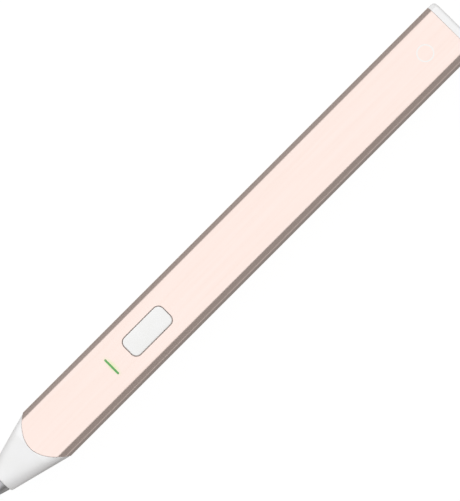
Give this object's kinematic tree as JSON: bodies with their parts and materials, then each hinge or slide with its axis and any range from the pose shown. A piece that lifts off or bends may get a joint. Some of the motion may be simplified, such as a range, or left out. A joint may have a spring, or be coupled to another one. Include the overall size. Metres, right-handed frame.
{
  "type": "three d pen",
  "caption": "Slim cordless drawing pen for melted filament: square bevelled tube, tapered nose with metal nozzle, one feed button, light line and end cap.",
  "frame": {"origin": "centre of the bounding box in X and Y, on the flat back face that the pen lies on", "axes": "+X along the pen from the nozzle to the tail, +Z out of the button face, +Y across the face"},
  "size_m": [0.1774, 0.0164, 0.0158],
  "materials": {
    "body_paint": "fine satin, pink",
    "white_plastic": "glossy, white",
    "button_plastic": "satin, white",
    "light_plastic": "clear green, lit",
    "nozzle_metal": "turned, dark",
    "brass": "turned",
    "ceramic": "fired, matt",
    "steel": "bright",
    "clear_tube": "waxy, milky white",
    "dark_plastic": "moulded, dark grey",
    "mount_metal": "machined",
    "board_green": "solder mask, green",
    "chip_black": "moulded, black",
    "cell_wrap": "shrink wrap, blue",
    "foam": "soft foam, dark grey",
    "wire_cover": "silicone, red",
    "gear_plastic": "moulded acetal, cream"
  },
  "bodies": {
    "pen_body": {"body_tube": "body_paint", "nose_cone": "white_plastic", "end_cap": "white_plastic", "button_retainer": "dark_plastic", "light_guide": "light_plastic", "nozzle": "nozzle_metal", "melt_tube": "brass", "ceramic_collar": "ceramic", "heater_sleeve": "ceramic", "thermistor": "ceramic", "heat_shield": "steel", "heat_break": "steel", "hot_end_mount": "mount_metal", "lock_nut": "steel", "hot_end_screws": "steel", "front_guide_tube": "clear_tube", "front_chassis": "dark_plastic", "feeder_frame": "dark_plastic", "feeder_screws": "steel", "shaft_bushes": "brass", "gearbox": "steel", "motor_can": "steel", "motor_end_bell": "chip_black", "motor_terminals": "brass", "pivot_pin": "steel", "idler_spring": "steel", "inlet_guide": "brass", "rear_filament_tube": "clear_tube", "inlet_ferrule": "steel", "main_board": "board_green", "switch_body": "steel", "status_led": "light_plastic", "control_chips": "chip_black", "board_parts": "chip_black", "board_screws": "steel", "rear_chassis": "dark_plastic", "battery_cell": "cell_wrap", "front_contact": "brass", "rear_contact": "brass", "foam_pad": "foam", "tail_board": "board_green", "charge_port": "steel", "port_tongue": "chip_black", "charge_chip": "chip_black", "heater_wires": "wire_cover", "motor_wires": "wire_cover", "battery_wires": "wire_cover"},
    "button": {"feed_button": "button_plastic"},
    "plunger": {"switch_plunger": "chip_black"},
    "feed_roller": {"feed_shaft": "steel", "crown_gear": "gear_plastic", "feed_wheel": "steel"},
    "drive_pinion": {"motor_shaft": "steel", "pinion": "brass"},
    "idler": {"idler_arm": "mount_metal", "roller_pin": "steel"},
    "roller": {"idler_roller": "steel"}
  },
  "joints": [
    {"name": "button_press", "type": "slide", "parent": "pen_body", "child": "button", "axis": [0, 0, -1], "range_m": [0, 0.0004], "stiffness_N_per_m": 1500},
    {"name": "plunger_press", "type": "slide", "parent": "pen_body", "child": "plunger", "axis": [0, 0, -1], "range_m": [0, 0.0004]},
    {"name": "feed_spin", "type": "hinge", "parent": "pen_body", "child": "feed_roller", "pos_m": [-0.0121, 0, 0.0062], "axis": [0, 1, 0], "continuous": true},
    {"name": "pinion_spin", "type": "hinge", "parent": "pen_body", "child": "drive_pinion", "pos_m": [-0.0081, -0.002, 0.0062], "axis": [1, 0, 0], "continuous": true},
    {"name": "idler_lift", "type": "hinge", "parent": "pen_body", "child": "idler", "pos_m": [-0.0041, 0.004, 0.0127], "axis": [0, 1, 0], "range_deg": [0, 3.5], "stiffness_Nm_per_rad": 0.015, "deforming": ["idler_spring"]},
    {"name": "roller_spin", "type": "hinge", "parent": "idler", "child": "roller", "pos_m": [-0.0121, 0.004, 0.01192], "axis": [0, 1, 0], "continuous": true}
  ],
  "couplings": [
    {"joint": "plunger_press", "follows": "button_press", "ratio": 1},
    {"joint": "pinion_spin", "follows": "feed_spin", "ratio": -2.5},
    {"joint": "roller_spin", "follows": "feed_spin", "ratio": -1.175}
  ]
}
